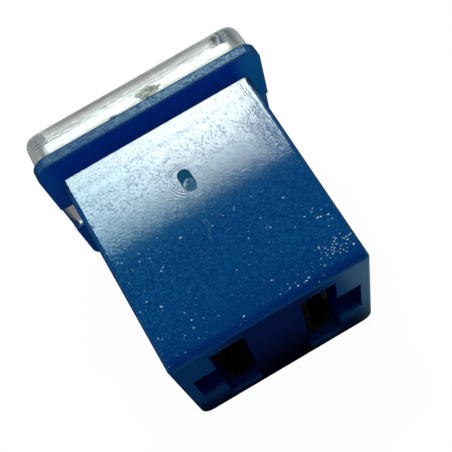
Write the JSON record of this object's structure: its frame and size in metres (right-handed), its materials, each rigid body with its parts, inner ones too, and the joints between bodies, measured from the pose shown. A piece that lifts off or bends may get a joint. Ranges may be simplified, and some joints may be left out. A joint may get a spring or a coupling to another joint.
{
  "type": "mini cartridge fuse",
  "caption": "Small automotive plug-in fuse: a tapered blue plastic box with two T-shaped terminal sockets in one end, and a clear latched cover over the fuse link at the other.",
  "frame": {"origin": "middle of the footprint, on the plane that the broad back face rests on", "axes": "+X across the fuse, +Y from the terminal face to the clear cover, +Z out of the broad front face"},
  "size_m": [0.0154, 0.0172, 0.0126],
  "materials": {
    "blue_plastic": "finely grained deep blue moulding",
    "clear_plastic": "clear moulding, slightly grey",
    "copper_alloy": "plain rolled copper alloy",
    "tin": "dull tin"
  },
  "bodies": {
    "root": {"housing": "blue_plastic", "clear_cover": "clear_plastic", "fuse_element": "copper_alloy", "tin_pellet": "tin"}
  },
  "joints": []
}
